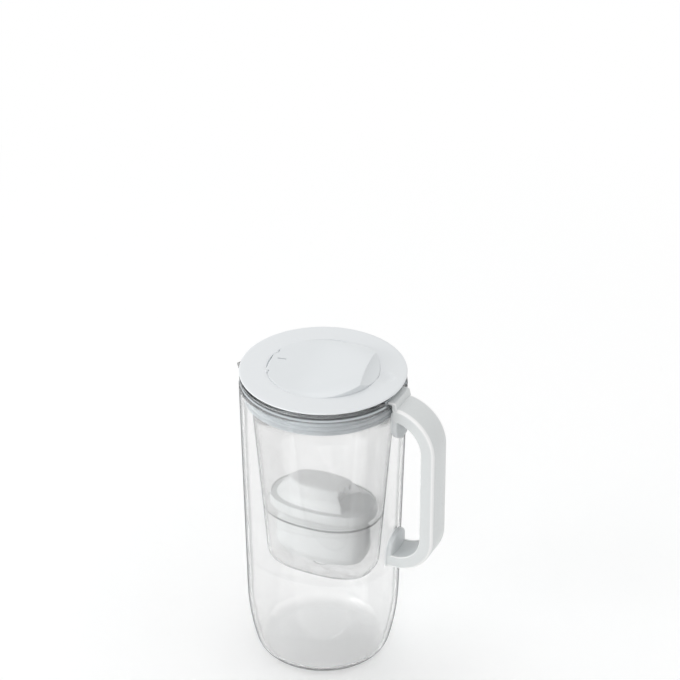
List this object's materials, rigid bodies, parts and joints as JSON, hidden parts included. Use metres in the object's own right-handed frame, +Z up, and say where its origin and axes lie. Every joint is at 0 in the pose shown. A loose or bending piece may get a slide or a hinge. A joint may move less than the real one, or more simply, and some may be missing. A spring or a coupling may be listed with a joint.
{
  "type": "water filter pitcher",
  "caption": "Tall glass jug with a V spout, loop handle, lift-out funnel, oval filter cartridge, soft seal ring and a round lid with a flip flap.",
  "frame": {"origin": "centre of the jug's round foot, on the surface it stands on", "axes": "+Z up along the jug's axis, +X towards the handle, -X towards the spout"},
  "size_m": [0.1707, 0.128, 0.2572],
  "materials": {
    "jug_glass": "clear polished glass",
    "handle_white": "satin injection-moulded plastic",
    "handle_inner_white": "fine satin moulded plastic",
    "bond_clear": "cured adhesive",
    "seal_silicone": "matte silicone",
    "funnel_clear": "clear moulded plastic",
    "cartridge_white": "satin moulded plastic",
    "cap_white": "satin slightly translucent plastic",
    "screen_mesh": "fine woven mesh",
    "granules": "loose grains of resin and carbon",
    "fleece": "felted fleece",
    "lid_white": "satin injection-moulded plastic",
    "pin_steel": "ground pin",
    "indicator_white": "satin moulded plastic",
    "seal_dark": "matte rubber",
    "cell_steel": "stamped steel",
    "contact_brass": "spring strip",
    "board_green": "solder-masked board",
    "light_green": "clear resin",
    "switch_dark": "moulded plastic",
    "bezel_dark": "gloss moulded plastic",
    "button_green": "translucent plastic lit from below"
  },
  "bodies": {
    "jug": {"glass_jug": "jug_glass", "handle_shell": "handle_white", "handle_inner_plate": "handle_inner_white", "handle_upper_bond": "bond_clear", "handle_lower_bond": "bond_clear"},
    "seal": {"seal_ring": "seal_silicone"},
    "hopper": {"funnel": "funnel_clear"},
    "cartridge": {"cartridge_housing": "cartridge_white", "cartridge_cap": "cap_white", "cartridge_inlet_screen": "screen_mesh", "filter_granules": "granules", "cartridge_fleece": "fleece", "cartridge_outlet_screen": "screen_mesh"},
    "lid": {"lid_disc": "lid_white", "flap_hinge_pin": "pin_steel"},
    "flap": {"flip_flap": "lid_white"},
    "indicator": {"indicator_case": "indicator_white", "indicator_base_cap": "indicator_white", "indicator_seal": "seal_dark", "indicator_cell": "cell_steel", "indicator_contact": "contact_brass", "indicator_board": "board_green", "indicator_light": "light_green", "indicator_switch": "switch_dark", "indicator_bezel": "bezel_dark"},
    "button": {"light_button": "button_green"}
  },
  "joints": [
    {"name": "funnel_lift", "type": "slide", "parent": "jug", "child": "hopper", "axis": [0, 0, 1], "range_m": [0, 0.1247]},
    {"name": "ring_slip", "type": "slide", "parent": "hopper", "child": "seal", "axis": [0, 0, -1], "range_m": [0, 0.0428]},
    {"name": "lid_lift", "type": "slide", "parent": "hopper", "child": "lid", "axis": [0, 0, 1], "range_m": [0, 0.145]},
    {"name": "cartridge_lift", "type": "slide", "parent": "hopper", "child": "cartridge", "axis": [0, 0, 1], "range_m": [0, 0.15]},
    {"name": "indicator_drop", "type": "slide", "parent": "lid", "child": "indicator", "axis": [0, 0, -1], "range_m": [0, 0.055]},
    {"name": "flap_hinge", "type": "hinge", "parent": "lid", "child": "flap", "pos_m": [-0.03988, -0.00703, 0.2481], "axis": [-0.1736, 0.9848, 0], "range_deg": [-85, 0]},
    {"name": "button_press", "type": "slide", "parent": "indicator", "child": "button", "axis": [0, 0, 1], "range_m": [-0.0008, 0], "stiffness_N_per_m": 300}
  ],
  "couplings": [
    {"joint": "ring_slip", "follows": "funnel_lift", "ratio": 0.3416},
    {"joint": "cartridge_lift", "follows": "lid_lift", "ratio": 1.034}
  ]
}
